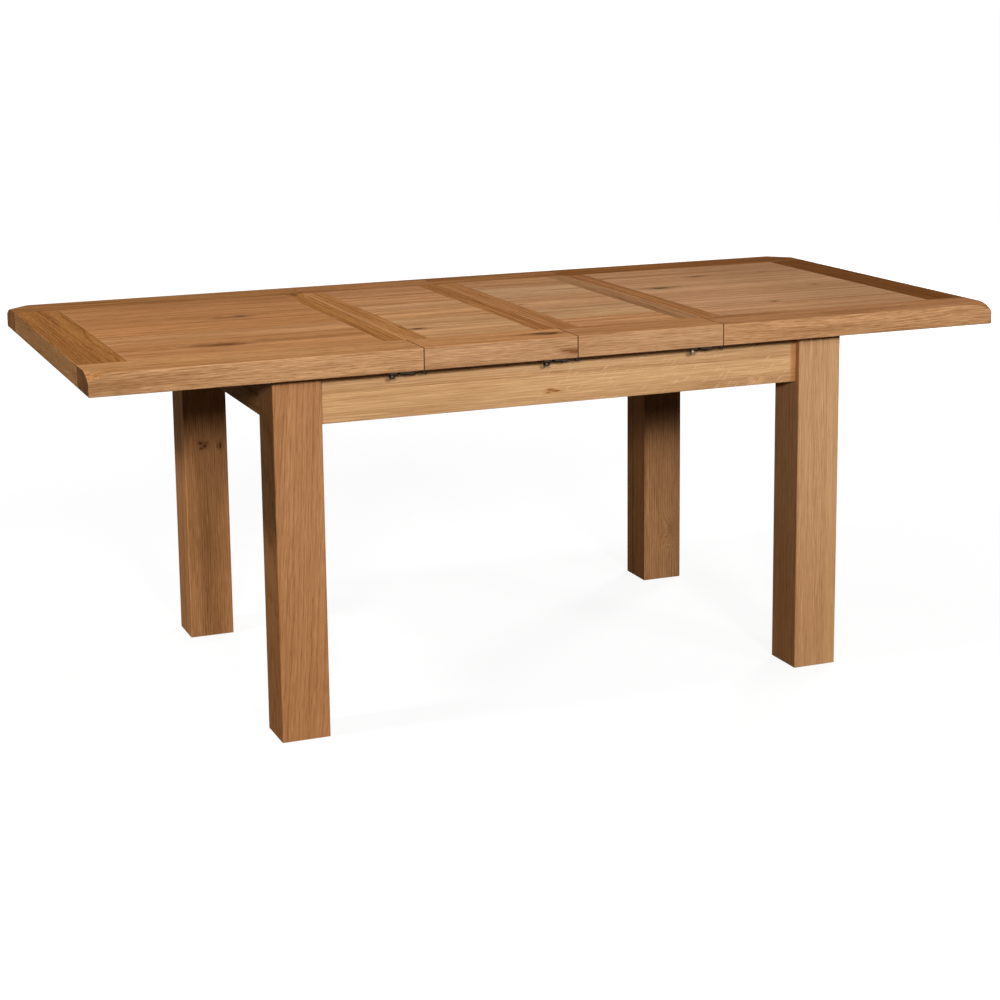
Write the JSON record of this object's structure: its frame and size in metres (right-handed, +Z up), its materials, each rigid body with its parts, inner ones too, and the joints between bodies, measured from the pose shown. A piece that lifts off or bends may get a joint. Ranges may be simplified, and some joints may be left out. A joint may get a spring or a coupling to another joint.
{
  "type": "extending dining table",
  "caption": "Oak extending dining table with square legs, framed half-tops that draw apart on wooden slides, drop-in leaves and turning leaf catches.",
  "frame": {"origin": "on the floor, under the middle of the table top", "axes": "+X along the length of the table towards the right half-top, +Y to the back, +Z up"},
  "size_m": [1.98, 0.92, 0.78],
  "materials": {
    "oak": "satin lacquer",
    "slide_hardwood": "plain planed",
    "nickel_steel": "nickel plated",
    "zinc_steel": "zinc plated"
  },
  "bodies": {
    "frame": {"apron_back": "oak", "apron_front": "oak", "apron_left": "oak", "apron_right": "oak", "corner_brace_back_left": "slide_hardwood", "corner_brace_back_right": "slide_hardwood", "corner_brace_front_left": "slide_hardwood", "corner_brace_front_right": "slide_hardwood", "cross_bearer_left": "slide_hardwood", "cross_bearer_right": "slide_hardwood", "guide_rail_back": "slide_hardwood", "guide_rail_front": "slide_hardwood", "leg_back_left": "oak", "leg_back_right": "oak", "leg_bolts": "zinc_steel", "leg_front_left": "oak", "leg_front_right": "oak"},
    "left_top": {"left_top_back_rail": "oak", "left_top_batten": "slide_hardwood", "left_top_catch_plates": "nickel_steel", "left_top_end_rail": "oak", "left_top_front_rail": "oak", "left_top_inner_rail": "oak", "left_top_panel": "oak", "left_top_runner_back": "slide_hardwood", "left_top_runner_front": "slide_hardwood"},
    "right_top": {"right_top_back_rail": "oak", "right_top_batten": "slide_hardwood", "right_top_end_rail": "oak", "right_top_front_rail": "oak", "right_top_inner_rail": "oak", "right_top_keepers": "nickel_steel", "right_top_panel": "oak", "right_top_runner_back": "slide_hardwood", "right_top_runner_front": "slide_hardwood"},
    "leaf_1": {"leaf_1_back_rail": "oak", "leaf_1_batten_back": "slide_hardwood", "leaf_1_batten_front": "slide_hardwood", "leaf_1_catch_plates": "nickel_steel", "leaf_1_front_rail": "oak", "leaf_1_keepers": "nickel_steel", "leaf_1_left_rail": "oak", "leaf_1_panel": "oak", "leaf_1_right_rail": "oak"},
    "leaf_2": {"leaf_2_back_rail": "oak", "leaf_2_batten_back": "slide_hardwood", "leaf_2_batten_front": "slide_hardwood", "leaf_2_catch_plates": "nickel_steel", "leaf_2_front_rail": "oak", "leaf_2_keepers": "nickel_steel", "leaf_2_left_rail": "oak", "leaf_2_panel": "oak", "leaf_2_right_rail": "oak"},
    "catch_bar_1_back": {"catch_bar_1_back": "nickel_steel"},
    "catch_bar_1_front": {"catch_bar_1_front": "nickel_steel"},
    "catch_bar_2_back": {"catch_bar_2_back": "nickel_steel"},
    "catch_bar_2_front": {"catch_bar_2_front": "nickel_steel"},
    "catch_bar_3_back": {"catch_bar_3_back": "nickel_steel"},
    "catch_bar_3_front": {"catch_bar_3_front": "nickel_steel"}
  },
  "joints": [
    {"name": "left_top_slide", "type": "slide", "parent": "frame", "child": "left_top", "axis": [-1, 0, 0], "range_m": [0, 0.04]},
    {"name": "right_top_slide", "type": "slide", "parent": "frame", "child": "right_top", "axis": [1, 0, 0], "range_m": [0, 0.04]},
    {"name": "leaf_1_lift", "type": "slide", "parent": "frame", "child": "leaf_1", "axis": [0, 0, 1], "range_m": [0, 0.2]},
    {"name": "leaf_2_lift", "type": "slide", "parent": "frame", "child": "leaf_2", "axis": [0, 0, 1], "range_m": [0, 0.2]},
    {"name": "catch_1_front_turn", "type": "hinge", "parent": "left_top", "child": "catch_bar_1_front", "pos_m": [-0.35, -0.435, 0.73], "axis": [0, 0, 1], "range_deg": [0, 180]},
    {"name": "catch_1_back_turn", "type": "hinge", "parent": "left_top", "child": "catch_bar_1_back", "pos_m": [-0.35, 0.435, 0.73], "axis": [0, 0, -1], "range_deg": [0, 180]},
    {"name": "catch_2_front_turn", "type": "hinge", "parent": "leaf_1", "child": "catch_bar_2_front", "pos_m": [-0.02, -0.435, 0.73], "axis": [0, 0, 1], "range_deg": [0, 180]},
    {"name": "catch_2_back_turn", "type": "hinge", "parent": "leaf_1", "child": "catch_bar_2_back", "pos_m": [-0.02, 0.435, 0.73], "axis": [0, 0, -1], "range_deg": [0, 180]},
    {"name": "catch_3_front_turn", "type": "hinge", "parent": "leaf_2", "child": "catch_bar_3_front", "pos_m": [0.31, -0.435, 0.73], "axis": [0, 0, 1], "range_deg": [0, 180]},
    {"name": "catch_3_back_turn", "type": "hinge", "parent": "leaf_2", "child": "catch_bar_3_back", "pos_m": [0.31, 0.435, 0.73], "axis": [0, 0, -1], "range_deg": [0, 180]}
  ]
}
